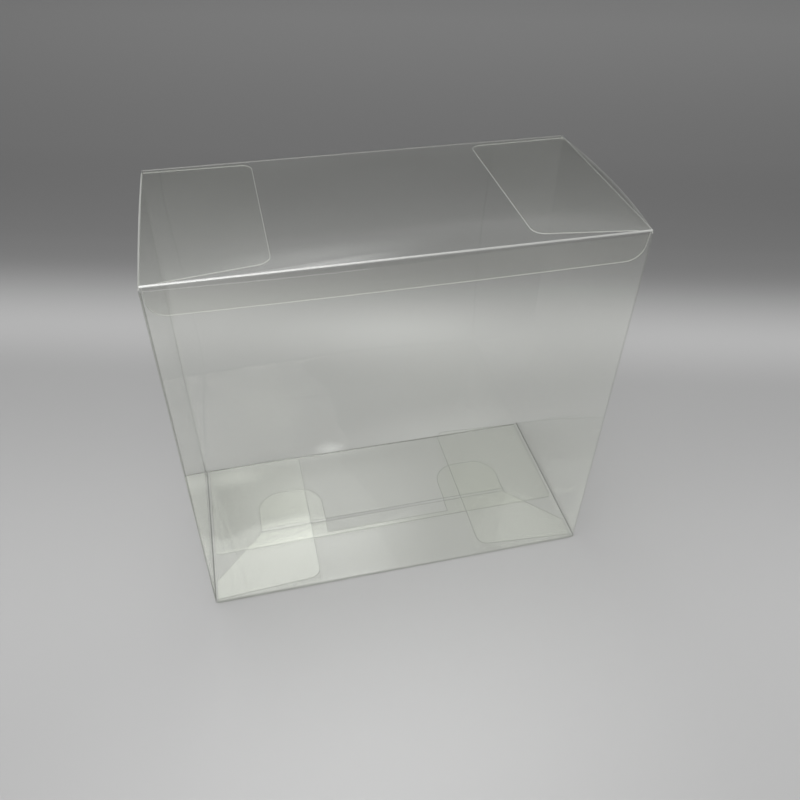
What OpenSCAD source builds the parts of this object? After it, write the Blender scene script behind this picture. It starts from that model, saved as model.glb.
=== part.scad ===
// Clear box protector: one sheet of clear film, cut, creased and glued into a box
// that stands upright, with a tuck-in lid and a lock bottom.
// Millimetres. The origin is at the bottom centre, the front is at -Y, up is +Z.

/* [Box] */
// Outside width, from left to right
box_w = 164; // [140:1:220]
// Outside depth, from front to back
box_d = 78.4; // [72:0.2:110]
// Outside height with the lid closed
box_h = 160; // [60:1:260]

/* [Film and folds] */
// Thickness of the film
film_t = 0.4; // [0.25:0.05:0.5]
// Inside radius of each fold
fold_r = 0.4; // [0.2:0.05:0.8]
// Air between two layers that lie on each other
layer_gap = 0.1; // [0.05:0.05:0.2]
// Relief between the end of a flap's fold and the bend of the corner beside it
corner_relief = 0.3; // [0.1:0.1:1.2]

/* [Glue flap] */
// Width of the flap that is glued inside the left wall
glue_w = 11; // [5:0.5:20]
// How far its ends stop short of the box's bottom and top
glue_inset = 4; // [3:0.5:12]
// How much shorter each end is at its free edge
glue_taper = 4; // [0:0.5:10]

/* [Lid] */
// How far the lid stops short of each side of the box
lid_inset = 0.4; // [0:0.1:1.5]
// Air at the crease between the lid and the back wall
crease_gap = 0.1; // [0.05:0.05:0.3]
// Height from the front wall's cut edge up to the lid
front_drop = 1; // [0.5:0.1:3]

/* [Tuck flap] */
// Height of the flap that tucks in behind the front wall
tuck_h = 12; // [6:0.5:20]
// Air between the tuck flap and the front wall at the top
tuck_gap = 0.3; // [0.2:0.05:0.8]
// Air between each end of the tuck flap and the side wall
tuck_end_gap = 0.7; // [0.5:0.1:3]
// Radius of its two free corners
tuck_corner_r = 6; // [1:0.5:6]
// Turn inwards beyond what the flap needs to swing clear, in degrees
tuck_spare = 0.8; // [0.5:0.1:3]

/* [Top dust flaps] */
// Length of each flap from the side wall, seen from above
dust_len = 39.5; // [15:0.5:60]
// How far the flap's free edge sinks below level, in degrees
dust_droop = 1.2; // [0.5:0.1:3]
// Air between the flap's shoulder and the tuck flap
shoulder_gap = 0.6; // [0.4:0.1:2]
// Length of the shoulder beside the fold
shoulder_len = 5; // [2:0.5:10]
// Step from the shoulder in to the tapered front edge
shoulder_step = 0.5; // [0.2:0.1:2]
// Taper of the front edge over the flap's length
dust_front_taper = 4.4; // [0:0.2:8]
// Taper of the rear edge over the flap's length
dust_rear_taper = 0.8; // [0:0.2:4]
// Radius of the free corners
dust_corner_r = 4; // [1:0.5:8]

/* [Bottom dust flaps] */
// Length of each flap from the side wall, seen from above
floor_len = 46; // [36:0.5:60]
// Rise of the left flap towards its free edge, in degrees
floor_rise_left = 1.3; // [1.2:0.1:8]
// Rise of the right flap towards its free edge, in degrees
floor_rise_right = 4.6; // [1.2:0.1:8]
// Taper of the front and rear edges over the flap's length
floor_taper = 1; // [0:0.2:4]
// Radius of the free corners
floor_corner_r = 4.5; // [1:0.5:8]

/* [Lock bottom] */
// Length of the back flap from the back wall
back_len = 53.3; // [50:0.1:60]
// Distance from the back wall to the middle of the slit
slit_from_back = 43.7; // [40:0.1:46]
// Width to which the slit opens around the tabs
slit_w = 1.4; // [1.3:0.05:2]
// Radius of the back flap's free corners
back_corner_r = 2.5; // [0.5:0.5:4]
// Length of the front flap's straight sides from the front wall
front_side = 11.2; // [4:0.2:20]
// Width of each tab
tab_w = 30.2; // [20:0.2:34]
// Space between the two tabs
tab_space = 57.6; // [40:0.2:60]
// Depth of the cut-out between the tabs in front of the slit
tab_notch = 6.7; // [1:0.1:12]
// Reach of the tabs behind the slit
tab_reach = 21.3; // [14:0.1:30]
// Radius of the tabs' free corners
tab_corner_r = 11; // [2:0.5:13]
// Air between the tabs' outer edges and the ends of the slit
tab_end_gap = 0.4; // [0.2:0.1:2]
// Slope of the tabs where they rise through the slit, in degrees
tab_slope = 45; // [42:1:55]

/* [Hidden] */
$fn = 48;

// Outside radius of a fold, the inner faces of the walls, and the lines where the walls
// meet the bends of the corners
fold_o = fold_r + film_t;
in_x = box_w / 2 - film_t;
in_y = box_d / 2 - film_t;
corner_x = box_w / 2 - fold_o;
corner_y = box_d / 2 - fold_o;
// How far a flap's strip runs up its wall, where the two are one layer of film
lap = 10;

// Lid: its underside, and the top edges below it
lid_z = box_h - film_t;
back_top = lid_z - crease_gap;
front_top = lid_z - front_drop;
side_top = lid_z - layer_gap;
// Tuck flap: the outer face of its fold, and its turn beyond square. Its free edge swings
// about the crease at the back, so the flap turns in until that edge clears the front wall
tuck_y = in_y - tuck_gap;
lid_len = box_d / 2 - crease_gap + tuck_y;
tuck_lean = asin(tuck_h / (2 * lid_len)) + tuck_spare;
tuck_half = in_x - tuck_end_gap;
lid_half = box_w / 2 - lid_inset;
// Top dust flaps: their front edge beside the fold, behind the tuck flap
shoulder_y = tuck_y - film_t - shoulder_gap;

// Lock bottom. The tabs slope up through the slit to lie on the back flap, and the back
// flap rises from its fold until it lies on the front flap
slit_y = box_d / 2 - slit_from_back;
tab_z = 2 * film_t + 3 * layer_gap;
ramp_len = tab_z / tan(tab_slope);
ramp_y = slit_y - ramp_len / 2 + film_t * tan(tab_slope / 2) / 2;
back_rise = atan((film_t + layer_gap) / (box_d / 2 - ramp_y));
slit_half = tab_space / 2 + tab_w + tab_end_gap;
// Level of the bottom dust flaps at their folds, above the back flap's free edge
floor_z = film_t + layer_gap + back_len * tan(back_rise);

// Outline with each corner rounded by its own radius. Corners are [x, y, radius], and each
// arc goes from one tangent point to the other in even steps
function unit(v) = v / norm(v);
function at(c, i) = let (p = c[(i + len(c)) % len(c)]) [p[0], p[1]];
function toward(c, i, step) = unit(at(c, i + step) - at(c, i));
function round_corner(c, i) =
    let (
        r = c[i][2],
        a = toward(c, i, -1),
        b = toward(c, i, 1),
        half = acos(a * b) / 2,
        centre = at(c, i) + unit(a + b) * r / sin(half),
        from = at(c, i) + a * r / tan(half) - centre,
        to = at(c, i) + b * r / tan(half) - centre,
        turn = 180 - 2 * half,
        steps = ceil($fn * turn / 360)
    )
    [for (k = [0 : steps])
        centre + (from * sin(turn * (1 - k / steps)) + to * sin(turn * k / steps)) / sin(turn)];

module rounded_outline(corners) {
    polygon([for (i = [0 : len(corners) - 1])
        each corners[i][2] > 0 ? round_corner(corners, i) : [at(corners, i)]]);
}

// Edge view of the film along a line of corners [x, y, outside radius]. The line goes from
// a flap's free end to the foot of a wall at [0, 0], and straight up the wall's outer face.
// The film is on its left
function left(v) = [-v[1], v[0]];
function inner_side(line, i) =
    let (
        last = len(line) - 1,
        a = left(toward(line, i, -1) * (i == 0 ? 0 : -1)),
        b = left(toward(line, i, 1) * (i == last ? 0 : 1)),
        p = at(line, i) + film_t * (a + b) / (i == 0 || i == last ? 1 : 1 + a * b)
    )
    [p[0], p[1], i == last ? 0 : max(0, line[i][2] - film_t)];

module film_edge(line) {
    last = len(line) - 1;
    rounded_outline([each line, for (i = [last : -1 : 0]) inner_side(line, i)]);
}

// A flap with its fold and a strip of the wall above it. The edge view runs along Y, and
// the child is the plan that cuts the flap to shape
module folded(line) {
    intersection() {
        rotate([90, 0, 0]) linear_extrude(2 * box_w, center = true) film_edge(line);
        translate([0, 0, -box_h]) linear_extrude(2 * box_h) children();
    }
}

// Line of a plain flap that rises towards its free end, and the line's wall
function flap_line(length, rise, wall = lap) =
    [[-length, length * tan(rise), 0], [0, 0, fold_o], [0, wall, 0]];

// Box between two opposite corners
module span_box(low, high) {
    translate(low) cube(high - low);
}

// The four walls and the bends between them, trimmed where the folds of the flaps begin.
// The left wall's rear edge is cut, because the glue flap joins it there
module walls() {
    out = box_w;
    difference() {
        translate([0, 0, fold_o]) linear_extrude(back_top - fold_o) difference() {
            rounded_outline([for (p = [[-1, -1], [1, -1], [1, 1], [-1, 1]])
                [p[0] * box_w / 2, p[1] * box_d / 2, fold_o]]);
            rounded_outline([for (p = [[-1, -1], [1, -1], [1, 1], [-1, 1]])
                [p[0] * in_x, p[1] * in_y, fold_r]]);
        }
        // Feet of the front and back walls
        span_box([-corner_x, -out, -1], [corner_x, out, 2 * fold_o]);
        // Cut edge at the top of the front wall, and of the corners beside it
        span_box([-out, -out, front_top], [out, corner_y, box_h]);
        // Feet and tops of the side walls
        for (x = [-out, corner_x]) {
            span_box([x, -corner_y, -1], [x + out - corner_x, corner_y, floor_z + 2 * fold_o]);
            span_box([x, -corner_y, side_top - 2 * fold_o], [x + out - corner_x, corner_y, box_h]);
        }
        // Rear corner on the left, where the glue flap's own fold turns
        span_box([-out, corner_y, -1], [-in_x + fold_o, out, box_h]);
    }
}

// Glue flap: folded from the back wall and glued to the inside of the left wall
module glue_flap() {
    low = glue_inset;
    high = box_h - glue_inset;
    edge = box_d / 2 - glue_w;
    intersection() {
        translate([-in_x, box_d / 2, 0]) rotate(-90) mirror([1, 0])
            linear_extrude(box_h) film_edge(flap_line(glue_w, 0));
        rotate([90, 0, 90]) linear_extrude(2 * box_w, center = true) polygon([
            [edge, low + glue_taper], [corner_y, low], [box_d, low],
            [box_d, high], [corner_y, high], [edge, high - glue_taper]]);
    }
}

// Right-hand top dust flap, with a shoulder behind each end of the tuck flap
module top_dust_flap() {
    rear = corner_y - corner_relief;
    front = shoulder_y - shoulder_step;
    translate([box_w / 2, 0, side_top]) mirror([0, 0, 1])
        folded(flap_line(dust_len, dust_droop)) rounded_outline([
            [fold_o, -shoulder_y, 0],
            [fold_o, rear, 0],
            [-fold_o, rear, 0],
            [-dust_len, rear - dust_rear_taper, dust_corner_r],
            [-dust_len, dust_front_taper - front, dust_corner_r],
            [-shoulder_len - shoulder_step, -front, 0],
            [-shoulder_len, -shoulder_y, 0]]);
}

module floor_dust_flap(rise) {
    half = corner_y - corner_relief;
    translate([box_w / 2, 0, floor_z])
        folded(flap_line(floor_len, rise)) rounded_outline([
            [fold_o, -half, 0],
            [fold_o, half, 0],
            [-fold_o, half, 0],
            [-floor_len, half - floor_taper, floor_corner_r],
            [-floor_len, floor_taper - half, floor_corner_r],
            [-fold_o, -half, 0]]);
}

// Back flap of the lock bottom, with the slit that the tabs come through. It stays clear
// of the glue flap's fold on the left, and is as wide on the right
module back_flap() {
    half = in_x - fold_o - corner_relief;
    translate([0, box_d / 2, 0]) rotate(90)
        folded(flap_line(back_len, back_rise)) difference() {
            rounded_outline([
                [fold_o, -half, 0],
                [fold_o, half, 0],
                [-back_len, half, back_corner_r],
                [-back_len, -half, back_corner_r]]);
            translate([-slit_from_back, 0]) square([slit_w, 2 * slit_half], center = true);
        }
}

// Front flap of the lock bottom: flat on the ground, then two tabs that slope up through
// the slit and lie on the back flap, with a cut-out between them
module front_flap() {
    half = corner_x - corner_relief;
    foot = box_d / 2 + ramp_y;
    head = foot + ramp_len;
    tip = box_d / 2 + slit_y + tab_reach;
    notch = box_d / 2 + slit_y - tab_notch;
    inner = tab_space / 2;
    outer = inner + tab_w;
    translate([0, -box_d / 2, 0]) rotate(-90)
        folded([
            [-tip, tab_z - (tip - head) * tan(back_rise), 0],
            [-head, tab_z, 0],
            [-foot, 0, 0],
            [0, 0, fold_o],
            [0, lap, 0]]) {
            polygon([
                [fold_o, -half], [fold_o, half], [-front_side, half], [-foot, outer],
                [-foot, inner], [-notch, inner], [-notch, -inner], [-foot, -inner],
                [-foot, -outer], [-front_side, -half]]);
            for (side = [-1, 1])
                translate([0, side * (inner + outer) / 2]) rounded_outline([
                    [-notch, -tab_w / 2, 0],
                    [-notch, tab_w / 2, 0],
                    [-tip, tab_w / 2, tab_corner_r],
                    [-tip, -tab_w / 2, tab_corner_r]]);
        }
}

module box_body() {
    color([0.82, 0.87, 0.88, 0.4]) {
        walls();
        glue_flap();
        front_flap();
        back_flap();
        floor_dust_flap(floor_rise_right);
        mirror([1, 0, 0]) floor_dust_flap(floor_rise_left);
        top_dust_flap();
        mirror([1, 0, 0]) top_dust_flap();
    }
}

// Lid: a flat panel, the fold at its front, and the tuck flap that hangs from the fold.
// The panel's rear edge is rounded, where the film turns down to the back wall
module lid() {
    line = flap_line(tuck_h, tuck_lean, lid_len);
    color([0.82, 0.87, 0.88, 0.4])
        translate([0, -tuck_y, box_h]) rotate([0, -90, -90])
            folded([line[0], line[1], [0, lid_len, film_t / 2]]) rounded_outline([
                [fold_o, -lid_half, 0],
                [fold_o, lid_half, 0],
                [-fold_o, lid_half, 0],
                [-fold_o, tuck_half, 0],
                [-tuck_h, tuck_half, tuck_corner_r],
                [-tuck_h, -tuck_half, tuck_corner_r],
                [-fold_o, -tuck_half, 0],
                [-fold_o, -lid_half, 0]]);
}

box_body();
lid();
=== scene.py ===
import math

import bmesh
import bpy
from mathutils import Matrix, Vector


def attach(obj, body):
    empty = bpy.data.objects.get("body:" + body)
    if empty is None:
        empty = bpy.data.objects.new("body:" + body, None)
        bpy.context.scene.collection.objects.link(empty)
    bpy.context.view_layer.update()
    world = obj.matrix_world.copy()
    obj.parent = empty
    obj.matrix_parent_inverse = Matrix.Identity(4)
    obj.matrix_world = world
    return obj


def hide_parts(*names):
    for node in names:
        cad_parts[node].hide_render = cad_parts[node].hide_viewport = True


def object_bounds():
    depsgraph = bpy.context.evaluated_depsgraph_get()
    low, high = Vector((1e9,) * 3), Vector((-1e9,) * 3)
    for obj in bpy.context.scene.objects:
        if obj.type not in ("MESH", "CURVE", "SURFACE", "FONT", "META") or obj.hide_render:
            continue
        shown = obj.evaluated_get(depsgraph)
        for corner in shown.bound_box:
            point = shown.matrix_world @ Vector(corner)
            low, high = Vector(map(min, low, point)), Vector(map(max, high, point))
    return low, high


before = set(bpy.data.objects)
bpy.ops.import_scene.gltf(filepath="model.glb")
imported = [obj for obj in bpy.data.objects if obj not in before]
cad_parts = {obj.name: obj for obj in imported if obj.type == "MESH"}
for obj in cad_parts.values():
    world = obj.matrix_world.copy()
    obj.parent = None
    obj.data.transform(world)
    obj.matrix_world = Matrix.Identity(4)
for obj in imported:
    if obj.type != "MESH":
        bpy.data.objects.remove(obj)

# A clear film box protector on a pale sweep. The sheet is folded edge by edge along the middle
# of its film, cut into a grid, loosened a little, and only then given its thickness
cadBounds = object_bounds()
mm = 0.001

film = {
    "thickness": 0.4 * mm,
    "foldRadius": 0.6 * mm,         # at the middle of the film
    "foldSteps": 6,
    "layerGap": 0.1 * mm,           # air between two layers that lie on each other
    "cornerRelief": 0.3 * mm,       # between a flap's fold and the bend of the corner beside it
    "gridPitch": 4 * mm,            # how finely the sheet is cut before it is loosened
    "creaseTurn": (0.2, 0.95),      # how upright the normal of a face in a level fold is
    "burr": 0.12 * mm,              # rounding of the cut edges
    "smoothAngle": 30,              # degrees
    "bottomFoldsTo": 4 * mm,        # the folds round the bottom lie below this
}

outX, outY, outZ = cadBounds[1]
halfFilm = film["thickness"] / 2
foldOut = film["foldRadius"] + halfFilm
midX, midY = outX - halfFilm, outY - halfFilm
flatX, flatY = outX - foldOut, outY - foldOut
hair = 0.02 * mm                    # reach within which an edge counts as lying on a line
floorTo = 10 * mm                   # all of the lock bottom lies below this
topFrom = 0.985 * outZ              # and the lid's panel and the top dust flaps above this


# Editing by hand: pick what lies in a place, then extrude, bend or cut it

def pick(kind, test):
    obj = bpy.context.edit_object
    bpy.ops.mesh.select_mode(type=kind)
    bpy.ops.mesh.select_all(action="DESELECT")
    mesh = bmesh.from_edit_mesh(obj.data)
    items = {"VERT": mesh.verts, "EDGE": mesh.edges, "FACE": mesh.faces}[kind]
    for item in items:
        corners = [item.co] if kind == "VERT" else [v.co for v in item.verts]
        if test(sum(corners, Vector()) / len(corners), item):
            item.select_set(True)
    mesh.select_flush_mode()
    bmesh.update_edit_mesh(obj.data)


def openEdge(test):
    pick("EDGE", lambda place, edge: edge.is_boundary and test(place))


def pull(move):
    bpy.ops.mesh.extrude_edges_move(TRANSFORM_OT_translate={"value": tuple(move)})


def foldOver(along, towards):
    # Takes the picked edge a quarter turn round a fold: it runs along, and ends up towards
    turn = [math.pi / 2 * k / film["foldSteps"] for k in range(film["foldSteps"] + 1)]
    for a, b in zip(turn, turn[1:]):
        pull(film["foldRadius"] * (along * (math.sin(b) - math.sin(a))
                                   + towards * (math.cos(a) - math.cos(b))))


def moveEnd(test, move):
    pick("VERT", lambda place, vert: test(place))
    bpy.ops.transform.translate(value=tuple(move))


def roundCorner(test, radius, steps=6):
    pick("VERT", lambda place, vert: test(place))
    bpy.ops.mesh.bevel(offset=radius, segments=steps, affect="VERTICES")


def cutAt(place, normal, test=lambda place: True):
    pick("FACE", lambda middle, face: test(middle))
    bpy.ops.mesh.bisect(plane_co=tuple(place), plane_no=tuple(normal))


def cutIntoGrid(low, high):
    for axis in range(3):
        normal = Vector([float(k == axis) for k in range(3)])
        count = int((high[axis] - low[axis]) / film["gridPitch"])
        for k in range(1, count):
            cutAt(low + normal * (high[axis] - low[axis]) * k / count, normal)
    bpy.ops.mesh.select_all(action="SELECT")
    bpy.ops.mesh.remove_doubles(threshold=film["layerGap"])


right, back, up = Vector((1, 0, 0)), Vector((0, 1, 0)), Vector((0, 0, 1))


# Box body

walls = {
    "frontTop": outZ - 1.4 * mm,        # cut edge of the front wall
    "backTop": outZ - 0.5 * mm,         # where the back wall meets the lid's crease
    "sideTop": outZ - 0.5 * mm,         # outside of the folds at the top of the side walls
    "floorTop": 1.104 * mm,             # outside of the folds above the lock bottom
}

dustFlap = {"length": 39.5 * mm, "droop": 0.15, "shoulderY": -37.5 * mm, "shoulder": 5 * mm,
            "step": 0.5 * mm, "frontTaper": 4.9 * mm, "rearTaper": 0.3 * mm, "round": 4 * mm}

floorFlap = {"length": 46 * mm, "taper": 1 * mm, "round": 4.5 * mm,
             "rise": {-1: 2.6, 1: 4.6}}

backFlap = {"length": 53.3 * mm, "rise": 0.65, "slitFromBack": 43.7 * mm, "slitWidth": 1.4 * mm,
            "round": 2.5 * mm, "sideGap": 0.2 * mm}

frontFlap = {"straight": 11.2 * mm, "tabWidth": 30.2 * mm, "tabSpace": 57.6 * mm,
             "notch": 6.7 * mm, "reach": 21.3 * mm, "round": 11 * mm, "endGap": 0.4 * mm,
             "tabZ": 1.1 * mm}

glueFlap = {"width": 11 * mm, "inset": 4 * mm, "taper": 4 * mm}


def makeWalls():
    low, high = foldOut, walls["frontTop"]
    bpy.ops.mesh.primitive_cube_add(size=1, location=(0, 0, (low + high) / 2),
                                    scale=(2 * midX, 2 * midY, high - low))
    body = bpy.context.object
    body.name = "film_body"
    bpy.ops.object.transform_apply(location=True, rotation=True, scale=True)
    bpy.ops.object.mode_set(mode="EDIT")
    pick("FACE", lambda place, face: abs(face.normal.z) > 0.9)
    bpy.ops.mesh.delete(type="ONLY_FACE")
    pick("EDGE", lambda place, edge: abs(edge.verts[0].co.z - edge.verts[1].co.z) > 1 * mm)
    bpy.ops.mesh.bevel(offset=film["foldRadius"], segments=film["foldSteps"], affect="EDGES")
    # Side walls start above the lock bottom
    sideLow = walls["floorTop"] + foldOut
    cutAt((0, 0, sideLow), up)
    pick("FACE", lambda place, face: abs(place.x) > midX - hair and place.z < sideLow)
    bpy.ops.mesh.delete(type="FACE")
    return body


def addFrontFlap():
    slitY = outY - backFlap["slitFromBack"]
    inner = frontFlap["tabSpace"] / 2
    outer = inner + frontFlap["tabWidth"]
    half = flatX - film["cornerRelief"]
    for x in (-half, half):
        cutAt((x, 0, 0), right, lambda p: p.y < -midY + hair)
    openEdge(lambda p: abs(p.z - foldOut) < hair and p.y < -midY + hair and abs(p.x) < half)
    foldOver(-up, back)
    pull(back * (frontFlap["straight"] - foldOut))
    # Sides that run in to the width of the tabs, where they start to climb
    foot = slitY - frontFlap["tabZ"] / 2
    notchY = slitY - frontFlap["notch"]
    straightY = -outY + frontFlap["straight"]
    pull(back * (notchY - straightY))
    share = (notchY - straightY) / (foot - straightY)
    edgeX = half + (outer - half) * share
    for side in (-1, 1):
        moveEnd(lambda p: abs(p.y - notchY) < hair and p.x * side > half - hair and p.z < foldOut,
                right * side * (edgeX - half))
    for x in (-inner, inner):
        cutAt((x, 0, 0), right, lambda p: p.z < halfFilm + hair and p.y < notchY)
    openEdge(lambda p: abs(p.y - notchY) < hair and p.z < foldOut and abs(p.x) > inner)
    pull(back * (foot - notchY))
    for side in (-1, 1):
        moveEnd(lambda p: abs(p.y - foot) < hair and p.x * side > edgeX - hair and p.z < foldOut,
                right * side * (outer - edgeX))
    openEdge(lambda p: abs(p.y - foot) < hair and p.z < foldOut)
    pull(back * frontFlap["tabZ"] + up * frontFlap["tabZ"])
    tip = slitY + frontFlap["reach"]
    run = tip - foot - frontFlap["tabZ"]
    pull(back * run - up * run * math.tan(math.radians(backFlap["rise"])))
    roundCorner(lambda p: abs(p.y - tip) < hair and p.z < floorTo, frontFlap["round"], 12)


def addBackFlap():
    half = flatX - halfFilm - film["cornerRelief"] - backFlap["sideGap"]
    for x in (-half, half):
        cutAt((x, 0, 0), right, lambda p: p.y > midY - hair)
    openEdge(lambda p: abs(p.z - foldOut) < hair and p.y > midY - hair and abs(p.x) < half)
    foldOver(-up, -back)
    run = backFlap["length"] - foldOut
    rise = run * math.tan(math.radians(backFlap["rise"]))
    pull(-back * run + up * rise)
    free = outY - backFlap["length"]

    def onFlap(p):
        height = halfFilm + (flatY - p.y) / run * rise
        return free - hair < p.y < flatY + hair and abs(p.z - height) < hair

    roundCorner(lambda p: onFlap(p) and abs(p.y - free) < hair, backFlap["round"])
    slitY = outY - backFlap["slitFromBack"]
    slitHalf = frontFlap["tabSpace"] / 2 + frontFlap["tabWidth"] + frontFlap["endGap"]
    for side in (-1, 1):
        pick("FACE", lambda p, face: abs(face.normal.z) > 0.9 and onFlap(p))
        bpy.ops.mesh.bisect(plane_co=(0, slitY + side * backFlap["slitWidth"] / 2, 0),
                            plane_no=(0, 1, 0))
        pick("FACE", lambda p, face: abs(face.normal.z) > 0.9 and onFlap(p))
        bpy.ops.mesh.bisect(plane_co=(side * slitHalf, 0, 0), plane_no=(1, 0, 0))
    pick("FACE", lambda p, face: onFlap(p) and abs(p.y - slitY) < backFlap["slitWidth"] / 2
         and abs(p.x) < slitHalf)
    bpy.ops.mesh.delete(type="FACE")


def addFloorFlap(side):
    half = flatY - film["cornerRelief"]
    low = walls["floorTop"] + foldOut
    for y in (-half, half):
        cutAt((0, y, 0), back, lambda p: p.x * side > midX - hair)
    openEdge(lambda p: p.x * side > midX - hair and abs(p.z - low) < hair and abs(p.y) < half)
    foldOver(-up, -right * side)
    run = floorFlap["length"] - foldOut
    pull(-right * side * run + up * run * math.tan(math.radians(floorFlap["rise"][side])))
    end = side * (outX - floorFlap["length"])

    def atEnd(p):
        return abs(p.x - end) < hair and abs(p.y) > half - hair and p.z < floorTo

    for y in (-1, 1):
        moveEnd(lambda p: atEnd(p) and p.y * y > 0, -back * y * floorFlap["taper"])
    roundCorner(lambda p: abs(p.x - end) < hair and abs(abs(p.y) - half + floorFlap["taper"]) < hair
                and p.z < floorTo, floorFlap["round"])


def addDustFlap(side):
    rear = flatY - film["cornerRelief"]
    front = dustFlap["shoulderY"]
    high = walls["frontTop"]
    for y in (front, rear):
        cutAt((0, y, 0), back, lambda p: p.x * side > midX - hair)
    openEdge(lambda p: p.x * side > midX - hair and abs(p.z - high) < hair and front < p.y < rear)
    pull(up * (walls["sideTop"] - foldOut - high))
    foldOver(up, -right * side)
    slope = math.tan(math.radians(dustFlap["droop"]))
    shoulder, step = dustFlap["shoulder"], dustFlap["step"]
    for start, end in ((foldOut, shoulder), (shoulder, shoulder + step),
                       (shoulder + step, dustFlap["length"])):
        pull((-right * side - up * slope) * (end - start))

    def endAt(reach, y):
        x = side * (outX - reach)
        return lambda p: abs(p.x - x) < hair and abs(p.y - y) < hair and p.z > 0.9 * outZ

    moveEnd(endAt(shoulder + step, front), back * step)
    moveEnd(endAt(dustFlap["length"], front), back * (step + dustFlap["frontTaper"]))
    moveEnd(endAt(dustFlap["length"], rear), -back * dustFlap["rearTaper"])
    for y in (front + step + dustFlap["frontTaper"], rear - dustFlap["rearTaper"]):
        roundCorner(endAt(dustFlap["length"], y), dustFlap["round"])


def addGlueFlap():
    # A strip inside the left wall, from the corner at the back
    x = -midX + film["thickness"] + film["layerGap"]
    rear, free = flatY, outY - glueFlap["width"]
    low, high = glueFlap["inset"], outZ - glueFlap["inset"]
    middle = Vector((x, (rear + free) / 2, (low + high) / 2))
    bpy.ops.mesh.select_all(action="DESELECT")
    bpy.ops.mesh.primitive_plane_add(size=1, location=middle, rotation=(0, math.pi / 2, 0))
    bpy.ops.transform.resize(value=(1, rear - free, high - low), center_override=middle)
    for end in (-1, 1):
        moveEnd(lambda p: abs(p.x - x) < hair and p.y < middle.y and (p.z - middle.z) * end > 0,
                -up * end * glueFlap["taper"])


def finishTops():
    # The back wall goes on up to the crease
    openEdge(lambda p: abs(p.z - walls["frontTop"]) < hair and p.y > midY - hair)
    pull(up * (walls["backTop"] - walls["frontTop"]))


def makeBody():
    body = makeWalls()
    addFrontFlap()
    addBackFlap()
    finishTops()
    for side in (-1, 1):
        addFloorFlap(side)
        addDustFlap(side)
    addGlueFlap()
    cutIntoGrid(Vector((-outX, -outY, 0)), Vector((outX, outY, outZ)))
    bpy.ops.object.mode_set(mode="OBJECT")
    return body


# Lid with its tuck flap

lid = {"sideInset": 0.4 * mm, "creaseGap": 0.1 * mm, "tuckY": -38.7 * mm, "tuckHeight": 12 * mm,
       "tuckHalf": 80.9 * mm, "tuckLean": 6.2, "round": 6 * mm}


def makeLid():
    half = outX - lid["sideInset"]
    rear = outY - lid["creaseGap"]
    front = lid["tuckY"] + foldOut
    bpy.ops.object.select_all(action="DESELECT")
    bpy.ops.mesh.primitive_plane_add(size=1, location=(0, (rear + front) / 2, outZ - halfFilm))
    piece = bpy.context.object
    piece.name = "film_lid"
    piece.scale = (2 * half, rear - front, 1)
    bpy.ops.object.transform_apply(location=True, rotation=True, scale=True)
    bpy.ops.object.mode_set(mode="EDIT")
    openEdge(lambda p: abs(p.y - front) < hair)
    foldOver(-back, -up)
    for side in (-1, 1):
        cutAt((side * lid["tuckHalf"], 0, 0), right)
    low = outZ - foldOut
    openEdge(lambda p: abs(p.z - low) < hair and abs(p.x) < lid["tuckHalf"])
    run = lid["tuckHeight"] - foldOut
    pull(-up * run + back * run * math.tan(math.radians(lid["tuckLean"])))
    roundCorner(lambda p: p.z < low - run + hair, lid["round"], 8)
    cutIntoGrid(Vector((-outX, -outY, outZ - lid["tuckHeight"])), Vector((outX, outY, outZ)))
    bpy.ops.object.mode_set(mode="OBJECT")
    return piece


# Looseness: how far the film strays from flat. Weights are painted while the sheet is still flat

slack = {
    "frontBow": 1.3 * mm,           # front wall's cut edge, outwards
    "frontBowAt": -22 * mm,
    "frontBowReach": 66 * mm,
    "frontBowCrest": 1.25,          # over 1 broadens the top of the bow
    "frontBowRise": 1.5,            # over 1 holds the bow near the cut edge
    "sideBow": {-1: 0.4 * mm, 1: 2.8 * mm},     # side walls at their top, outwards
    "lidCrown": 1.3 * mm,           # lid behind its front fold, upwards
    "crownReach": 16 * mm,
    "tuckBow": 0.8 * mm,            # tuck flap's free edge, towards the front wall
    "tabLift": 0.1 * mm,            # tabs at their tips, upwards
    "tabLevels": (1 * mm, 1.45 * mm),   # heights between which the tabs lie
    "wallWave": 0.8 * mm,           # gentle waves, from trough to crest
    "wallWaveLength": 55 * mm,
    "flatWave": 0.4 * mm,
    "flatWaveLength": 35 * mm,
    "pinned": 16 * mm,              # reach over which a fold holds the film flat
}


def ease(x):
    x = min(max(x, 0), 1)
    return x * x * (3 - 2 * x)


def heldBy(*distances):
    return min(ease(d / slack["pinned"]) for d in distances)


def waveTexture(name, length):
    texture = bpy.data.textures.new(name, "CLOUDS")
    texture.noise_scale = length
    texture.noise_depth = 0
    texture.noise_basis = "ORIGINAL_PERLIN"
    return texture


def loosen(obj, pushes):
    # Each push is a name, a weight for a place, a direction, a strength and perhaps a texture
    for name, weight, *rest in pushes:
        group = obj.vertex_groups.new(name=name)
        for vert in obj.data.vertices:
            amount = weight(vert.co)
            if amount > 0:
                group.add([vert.index], min(amount, 1), "REPLACE")
    bpy.ops.object.select_all(action="DESELECT")
    obj.select_set(True)
    bpy.context.view_layer.objects.active = obj
    for name, weight, direction, strength, *texture in pushes:
        displace = obj.modifiers.new(name, "DISPLACE")
        displace.vertex_group = name
        displace.direction = direction
        displace.strength = strength
        displace.mid_level = 0.5 if texture else 0
        if texture:
            displace.texture = texture[0]
        displace.texture_coords = "LOCAL"
        bpy.ops.object.modifier_apply(modifier=name)
    obj.vertex_groups.clear()


def onFront(p):
    return p.y < -midY + hair and p.z > foldOut - hair


def onBack(p):
    return p.y > midY - hair and p.z > foldOut - hair


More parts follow.
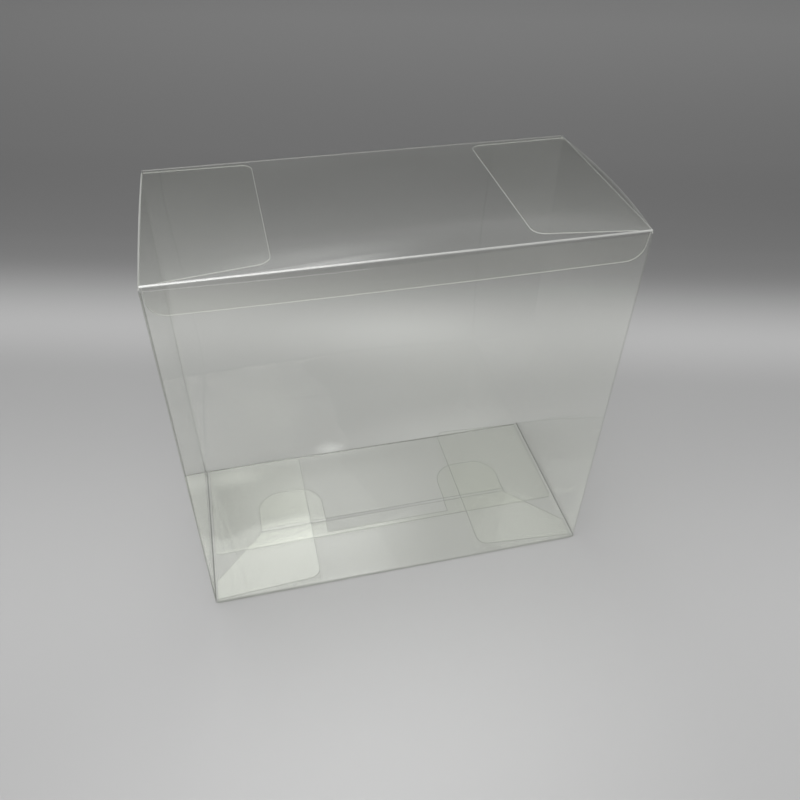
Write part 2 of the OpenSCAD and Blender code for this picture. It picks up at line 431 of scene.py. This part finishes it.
def onSide(p):
    # With the glue flap, which lies against the left wall
    layers = film["thickness"] + 2 * film["layerGap"]
    return abs(p.x) > midX - layers and p.z > foldOut - hair


def onTop(p):
    return p.z > topFrom and abs(p.x) < flatX and p.y > -flatY


def onFloor(p):
    return p.z < floorTo and abs(p.x) < flatX and abs(p.y) < flatY


def acrossFloor(p):
    return heldBy(flatX - abs(p.x), flatY - abs(p.y)) if onFloor(p) else 0


def frontBow(p):
    if not onFront(p):
        return 0
    across = ease(slack["frontBowCrest"]
                  * (1 - abs(p.x - slack["frontBowAt"]) / slack["frontBowReach"]))
    return across * ease(p.z / outZ) ** slack["frontBowRise"]


def sideBow(p, side):
    # The bow leans the whole side out, and the dust flap that is folded from it follows
    reach = (outX - p.x * side) / dustFlap["length"]
    if p.x * side <= 0 or (not onSide(p) and p.z < topFrom):
        return 0
    return max(0, 1 - (p.y / midY) ** 2) * ease(p.z / outZ) * (1 - ease(reach))


def tabLift(p):
    inner, root = frontFlap["tabSpace"] / 2, outY - backFlap["slitFromBack"]
    low, high = slack["tabLevels"]
    if low < p.z < high and inner - hair < abs(p.x) < inner + frontFlap["tabWidth"] + hair:
        return max(0, (p.y - root) / frontFlap["reach"])
    return 0


def loosenBody(body):
    wave = waveTexture("wallWave", slack["wallWaveLength"])
    ripple = waveTexture("flatWave", slack["flatWaveLength"])
    loosen(body, (
        ("waveFront", lambda p: heldBy(midX - abs(p.x), p.z) if onFront(p) else 0,
         "Y", slack["wallWave"], wave),
        ("waveBack", lambda p: heldBy(midX - abs(p.x), p.z, outZ - p.z) if onBack(p) else 0,
         "Y", slack["wallWave"], wave),
        ("waveSide", lambda p: heldBy(midY - abs(p.y), p.z, outZ - p.z) if onSide(p) else 0,
         "X", slack["wallWave"], wave),
        ("waveFloor", acrossFloor, "Z", slack["flatWave"], ripple),
        ("liftFloor", acrossFloor, "Z", slack["flatWave"] / 2),
        ("liftTabs", tabLift, "Z", slack["tabLift"]),
        ("bowFront", frontBow, "Y", -slack["frontBow"]),
        ("bowRight", lambda p: sideBow(p, 1), "X", slack["sideBow"][1]),
        ("bowLeft", lambda p: sideBow(p, -1), "X", -slack["sideBow"][-1]),
    ))


def loosenLid(piece):
    ripple = waveTexture("lidWave", slack["wallWaveLength"])
    front = lid["tuckY"] + foldOut

    def crown(p):
        if not onTop(p):
            return 0
        rise = 1 - (1 - min((p.y - front) / slack["crownReach"], 1)) ** 2
        fall = ease((midY - p.y) / (midY - front))
        return rise * fall * max(0, 1 - (p.x / midX) ** 2)

    loosen(piece, (
        ("waveLid", lambda p: heldBy(midX - abs(p.x), p.y - front, midY - p.y) if onTop(p) else 0,
         "Z", slack["flatWave"], ripple),
        ("crownLid", crown, "Z", slack["lidCrown"]),
        ("bowTuck", lambda p: max(0, 1 - (p.x / lid["tuckHalf"]) ** 2)
         * ease((outZ - p.z) / lid["tuckHeight"]), "Y", -slack["tuckBow"]),
    ))


# Materials

# What a film mirrors when seen straight on, its roughness, how milky it is, and its tint. On the cut
# edges the milkiness is a painted highlight, and on the folds it is partly the whitening of a scored
# crease and partly a painted highlight. The darker tints are painted shade
looks = {
    "clearFilm": (0.045, 0.02, 0.0, (0.995, 0.998, 0.989)),
    # cut edges: painted pale, a painted highlight for the light that a clear cut edge gathers
    "cutEdge": (0.12, 0.3, 0.6, (0.95, 0.96, 0.93)),
    # the folds at the top: milky as a scored crease is whitened, paler still as a painted highlight,
    # with a darker tint as painted shade
    "crease": (0.30, 0.25, 0.35, (0.90, 0.91, 0.89)),   # the lid's front fold
    # the folds upright at the front and round the bottom: a darker tint, painted shade
    "bend": (0.10, 0.05, 0.0, (0.76, 0.77, 0.74)),      # upright at the front, and round the bottom
    # the tuck flap: a darker copy of the clear film, painted shade
    "shadedTuckFilm": (0.035, 0.02, 0.0, (0.955, 0.955, 0.945)),
    "foldLine": (0.30, 0.25, 0.45, (0.90, 0.91, 0.89)), # above the side walls
    # the lid's cut edges: a weaker painted highlight
    "lidEdge": (0.12, 0.3, 0.2, (0.95, 0.96, 0.93)),
    # the cut edges at the bottom: a darker tint, painted shade
    "lowEdge": (0.02, 0.3, 0.0, (0.74, 0.75, 0.72)),
}
# Colour of the pale layer: milkiness, and a painted highlight on cut edges and folds
highlightAndMilkColour = (0.8, 0.81, 0.78)

# A piece's materials in order. Each film is followed by the look of its cut edge
slots = ("clearFilm", "cutEdge", "crease", "cutEdge", "bend", "cutEdge", "shadedTuckFilm", "cutEdge",
         "foldLine", "cutEdge", "lidEdge", "lowEdge")
cutSlots = [place for place, look in enumerate(slots) if look == "cutEdge"]
grazing = 5                         # power of the curve by which a film mirrors more at a slant


def filmMaterial(name):
    mirror, roughness, highlightAndMilk, tintAndShade = looks[name]
    material = bpy.data.materials.new(name)
    material.use_nodes = True
    nodes, links = material.node_tree.nodes, material.node_tree.links
    nodes.clear()
    output = nodes.new("ShaderNodeOutputMaterial")
    facing = nodes.new("ShaderNodeLayerWeight")
    facing.inputs["Blend"].default_value = 0.5
    power = nodes.new("ShaderNodeMath")
    power.operation = "POWER"
    power.inputs[1].default_value = grazing
    links.new(facing.outputs["Facing"], power.inputs[0])
    share = nodes.new("ShaderNodeMath")
    share.operation = "MULTIPLY_ADD"
    share.inputs[1].default_value = 1 - mirror
    share.inputs[2].default_value = mirror
    links.new(power.outputs[0], share.inputs[0])
    # What passes through takes the film's own tint, and on the darker looks a painted shade
    clear = nodes.new("ShaderNodeBsdfTransparent")
    clear.inputs["Color"].default_value = (*tintAndShade, 1)
    gloss = nodes.new("ShaderNodeBsdfGlossy")
    gloss.inputs["Roughness"].default_value = roughness
    gloss.inputs["Color"].default_value = (1, 1, 1, 1)
    sheet = nodes.new("ShaderNodeMixShader")
    links.new(share.outputs[0], sheet.inputs[0])
    links.new(clear.outputs[0], sheet.inputs[1])
    links.new(gloss.outputs[0], sheet.inputs[2])
    last = sheet
    # A pale diffuse layer: milkiness, and on cut edges and folds a painted highlight
    if highlightAndMilk > 0:
        highlightAndMilkLayer = nodes.new("ShaderNodeBsdfDiffuse")
        highlightAndMilkLayer.inputs["Color"].default_value = (*highlightAndMilkColour, 1)
        last = nodes.new("ShaderNodeMixShader")
        last.inputs[0].default_value = highlightAndMilk
        links.new(sheet.outputs[0], last.inputs[1])
        links.new(highlightAndMilkLayer.outputs[0], last.inputs[2])
    links.new(last.outputs[0], output.inputs["Surface"])
    return material


def inCrease(face):
    place, turned = face.center, abs(face.normal.z)
    least, most = film["creaseTurn"]
    return least < turned < most and place.z > outZ / 2


def inBend(face):
    place, normal = face.center, face.normal
    least, most = film["creaseTurn"]
    upright = abs(normal.z) < 0.1 and min(abs(normal.x), abs(normal.y)) > least
    lockBottom = abs(place.x) < flatX - film["layerGap"] and abs(place.y) < flatY - film["layerGap"]
    if place.z > film["bottomFoldsTo"]:
        return upright and place.y < foldOut - midY
    return least < abs(normal.z) < most and not lockBottom


# The folds get looks with painted highlight and painted shade, and the tuck flap a darker copy of the
# film, painted shade
def filmLook(piece, face):
    onLid = piece.name == "film_lid"
    if inCrease(face):
        return "crease" if onLid else "foldLine"
    if inBend(face):
        return "bend"
    return "shadedTuckFilm" if onLid and face.center.z < outZ - foldOut else "clearFilm"


def edgeLook(piece, place):
    # Most cut edges are painted pale, a painted highlight, and those round the lid less so. Those at
    # the bottom are painted darker than the film, a painted shade, and three kinds hardly show: below
    # the lid's fold, which shades them, glued, and at the lid's crease
    if place.z < floorTo:
        return "lowEdge"
    top = place.z > outZ - 2 * film["thickness"]
    if piece.name == "film_lid":
        return "lidEdge" if top else "cutEdge"
    underFold = place.y < -flatY and place.z > walls["frontTop"] - film["thickness"]
    atCrease = place.y > flatY and top
    glued = place.x < 3 * film["thickness"] - outX and place.y > flatY - glueFlap["width"]
    return "clearFilm" if underFold or atCrease or glued else "cutEdge"


def dress(piece, materials):
    for face in piece.data.polygons:
        face.material_index = slots.index(filmLook(piece, face))
    solid = piece.modifiers.new("film", "SOLIDIFY")
    solid.thickness = film["thickness"]
    solid.offset = 0
    solid.use_even_offset = False
    solid.use_rim = True
    solid.material_offset_rim = 1
    for look in slots:
        piece.data.materials.append(materials[look])
    bpy.ops.object.select_all(action="DESELECT")
    piece.select_set(True)
    bpy.context.view_layer.objects.active = piece
    bpy.ops.object.modifier_apply(modifier="film")
    bpy.ops.object.mode_set(mode="EDIT")
    pick("EDGE", lambda place, edge: [False, True]
         == sorted(face.material_index in cutSlots for face in edge.link_faces))
    bpy.ops.mesh.bevel(offset=film["burr"], segments=1, material=1)
    bpy.ops.object.mode_set(mode="OBJECT")
    for face in piece.data.polygons:
        if face.material_index in cutSlots:
            face.material_index = slots.index(edgeLook(piece, face.center))
    bpy.ops.object.shade_smooth_by_angle(angle=math.radians(film["smoothAngle"]))


body = makeBody()
lidPiece = makeLid()
print("scene: film folded")
loosenBody(body)
loosenLid(lidPiece)
materials = {name: filmMaterial(name) for name in looks}
for piece in (body, lidPiece):
    dress(piece, materials)
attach(body, "box")
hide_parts("box_body")
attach(lidPiece, "lid")
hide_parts("lid")
print("scene: film dressed")


# Camera, at the photograph's viewing angle

camera = {
    "place": Vector((-53.4 * mm, -237.0 * mm, 283.9 * mm)),
    "heading": 14.30,                   # degrees: from +Y towards +X, then down, then roll
    "pitch": 41.73,
    "roll": 1.34,
    "lens": 34.44,
}


def makeCamera():
    data = bpy.data.cameras.new("camera")
    data.lens = camera["lens"]
    data.sensor_width = 36
    obj = bpy.data.objects.new("camera", data)
    bpy.context.scene.collection.objects.link(obj)
    obj.matrix_world = (Matrix.Translation(camera["place"])
                        @ Matrix.Rotation(-math.radians(camera["heading"]), 4, "Z")
                        @ Matrix.Rotation(math.radians(90 - camera["pitch"]), 4, "X")
                        @ Matrix.Rotation(math.radians(camera["roll"]), 4, "Z"))
    bpy.context.scene.camera = obj


# Sweep, lamps and world

sweep = {
    "size": 6,
    "away": Vector((0.247, 0.969, 0)),  # level direction in which the camera looks
    "near": -0.2,
    "far": 0.8,
    # Paper's tone from near to far, which paints the light and shade on the paper: pale, a dip, a pale
    # band, then dark
    "greys": ((0.05, 0.50), (0.16, 0.51), (0.29, 0.40), (0.345, 0.485), (0.40, 0.25), (0.45, 0.17),
              (0.60, 0.16), (1.0, 0.24)),
    # Painted light: the paper's colour grows paler to the right
    "sideGain": 0.3,                    # paler to the right, per metre
    # Pools of light on the paper, some thrown by the film: middle, reach, how much shorter the pool
    # is in depth than in width, gain, and the line behind which it starts
    "pools": (((-0.032, -0.13), 0.16, 1.6, 0.2, -1), ((0.035, 0.141), 0.10, 2.5, 0.15, midY),
              ((0.055, 0.098), 0.095, 1.5, 0.10, midY), ((0.04, midY), 0.085, 2.8, 0.24, midY),
              ((-0.07, 0.033), 0.024, 2.5, 0.45, -1), ((-0.019, 0.042), 0.011, 1.5, 0.45, midY)),
}


# Place, aim, width and depth, power in watts, and how much of each side fades out. The panel's aim
# is a hair off plumb, which keeps its sides along the box's
lamps = {
    "panel": {"place": (-0.29, 0.29, 1.10), "aim": (-0.29, 0.2901, 0.0), "size": (1.22, 1.24),
              "power": 7.8, "fade": (0.2, 0.015)},
    "rear": {"place": (0.066, 0.948, 1.047), "aim": (-0.02, -0.03, 0.16), "size": (0.7, 0.5),
             "power": 0.9, "fade": (0.5, 0.5)},
    "fill": {"place": (-0.3, -0.9, 1.2), "aim": (0.0, 0.0, 0.0), "size": (1.0, 0.8),
             "power": 6.7, "fade": None},
}

# Paler overhead than round the sides: strengths, and the degrees above level between which they
# change. The lean makes it a little paler on the right
world = {"low": 0.08, "high": 0.50, "from": 22, "to": 33, "lean": 0.04}


def makeSweep():
    bpy.ops.object.select_all(action="DESELECT")
    bpy.ops.mesh.primitive_plane_add(size=sweep["size"], location=(0, 0, 0))
    floor = bpy.context.object
    floor.name = "sweep"
    material = bpy.data.materials.new("sweepPaper")
    material.use_nodes = True
    nodes, links = material.node_tree.nodes, material.node_tree.links
    shader = nodes["Principled BSDF"]
    shader.inputs["Roughness"].default_value = 0.6
    place = nodes.new("ShaderNodeTexCoord")

    def measure(operation, other, source=place.outputs["Object"]):
        node = nodes.new("ShaderNodeVectorMath")
        node.operation = operation
        node.inputs[1].default_value = other
        links.new(source, node.inputs[0])
        return node.outputs["Vector" if operation == "MULTIPLY" else "Value"]

    def combine(operation, first, second):
        node = nodes.new("ShaderNodeMath")
        node.operation = operation
        for value, socket in zip((first, second), node.inputs):
            if isinstance(value, (int, float)):
                socket.default_value = value
            else:
                links.new(value, socket)
        return node.outputs[0]

    def remap(value, low, high, start, end, curve="LINEAR"):
        node = nodes.new("ShaderNodeMapRange")
        node.interpolation_type = curve
        for name, number in (("From Min", low), ("From Max", high), ("To Min", start), ("To Max", end)):
            node.inputs[name].default_value = number
        links.new(value, node.inputs["Value"])
        return node.outputs["Result"]

    # The paper's colour paints the light and shade that fall on it, from near to far
    ramp = nodes.new("ShaderNodeValToRGB")
    ramp.color_ramp.interpolation = "CARDINAL"
    while len(ramp.color_ramp.elements) < len(sweep["greys"]):
        ramp.color_ramp.elements.new(0.5)
    for element, (position, grey) in zip(ramp.color_ramp.elements, sweep["greys"]):
        element.position = position
        element.color = (grey, grey, grey, 1)
    links.new(remap(measure("DOT_PRODUCT", sweep["away"]), sweep["near"], sweep["far"], 0, 1),
              ramp.inputs[0])
    # Painted light: paler to the right
    sideways = sweep["away"].cross(up)
    tone = remap(measure("DOT_PRODUCT", sideways), -0.5, 0.5, 1 - 0.5 * sweep["sideGain"],
                 1 + 0.5 * sweep["sideGain"])
    # Painted pools of light in the paper's colour
    for (x, y), reach, squeeze, gain, start in sweep["pools"]:
        level = measure("MULTIPLY", (1, squeeze, 1))
        level = remap(measure("DISTANCE", (x, squeeze * y, 0), level), 0, reach, gain, 0, "SMOOTHSTEP")
        behind = combine("GREATER_THAN", measure("DOT_PRODUCT", back), start)
        tone = combine("MULTIPLY", tone, combine("ADD", 1, combine("MULTIPLY", level, behind)))
    colour = nodes.new("ShaderNodeVectorMath")
    colour.operation = "SCALE"
    links.new(ramp.outputs[0], colour.inputs[0])
    links.new(tone, colour.inputs["Scale"])
    links.new(colour.outputs[0], shader.inputs["Base Color"])
    floor.data.materials.append(material)


def makeLamp(name, lamp):
    data = bpy.data.lights.new(name, "AREA")
    data.shape = "RECTANGLE"
    data.size, data.size_y = lamp["size"]
    data.energy = lamp["power"]
    obj = bpy.data.objects.new(name, data)
    bpy.context.scene.collection.objects.link(obj)
    place = Vector(lamp["place"])
    obj.location = place
    obj.rotation_euler = (Vector(lamp["aim"]) - place).to_track_quat("-Z", "Y").to_euler()
    if lamp["fade"]:
        fadeOut(data, lamp["fade"])


def fadeOut(data, softEdges):
    # The lamp fades towards its rim, as a diffuser does
    data.use_nodes = True
    nodes, links = data.node_tree.nodes, data.node_tree.links
    glow = nodes["Emission"]
    place = nodes.new("ShaderNodeNewGeometry")
    split = nodes.new("ShaderNodeSeparateXYZ")
    links.new(place.outputs["Parametric"], split.inputs[0])
    fades = []
    for axis, softEdge in enumerate(softEdges):
        across = nodes.new("ShaderNodeMath")
        across.operation = "PINGPONG"
        across.inputs[1].default_value = 0.5
        links.new(split.outputs[axis], across.inputs[0])
        fade = nodes.new("ShaderNodeMapRange")
        fade.interpolation_type = "SMOOTHSTEP"
        fade.inputs["From Max"].default_value = softEdge
        links.new(across.outputs[0], fade.inputs["Value"])
        fades.append(fade)
    both = nodes.new("ShaderNodeMath")
    both.operation = "MULTIPLY"
    for fade, slot in zip(fades, both.inputs):
        links.new(fade.outputs["Result"], slot)
    links.new(both.outputs[0], glow.inputs["Strength"])


def makeWorld():
    studio = bpy.data.worlds.new("studio")
    studio.use_nodes = True
    nodes, links = studio.node_tree.nodes, studio.node_tree.links
    shade = nodes["Background"]
    shade.inputs["Color"].default_value = (1, 1, 1, 1)
    place = nodes.new("ShaderNodeTexCoord")
    height = nodes.new("ShaderNodeVectorMath")
    height.operation = "DOT_PRODUCT"
    height.inputs[1].default_value = (world["lean"], 0, 1)
    links.new(place.outputs["Generated"], height.inputs[0])
    level = nodes.new("ShaderNodeMapRange")
    level.interpolation_type = "SMOOTHSTEP"
    level.inputs["From Min"].default_value = math.sin(math.radians(world["from"]))
    level.inputs["From Max"].default_value = math.sin(math.radians(world["to"]))
    level.inputs["To Min"].default_value = world["low"]
    level.inputs["To Max"].default_value = world["high"]
    links.new(height.outputs["Value"], level.inputs["Value"])
    links.new(level.outputs["Result"], shade.inputs["Strength"])
    bpy.context.scene.world = studio


makeCamera()
makeSweep()
for name, lamp in lamps.items():
    makeLamp(name, lamp)
makeWorld()
bpy.context.scene.view_settings.view_transform = "Standard"
bpy.context.scene.cycles.transparent_max_bounces = 64
print("scene: camera, sweep and light")
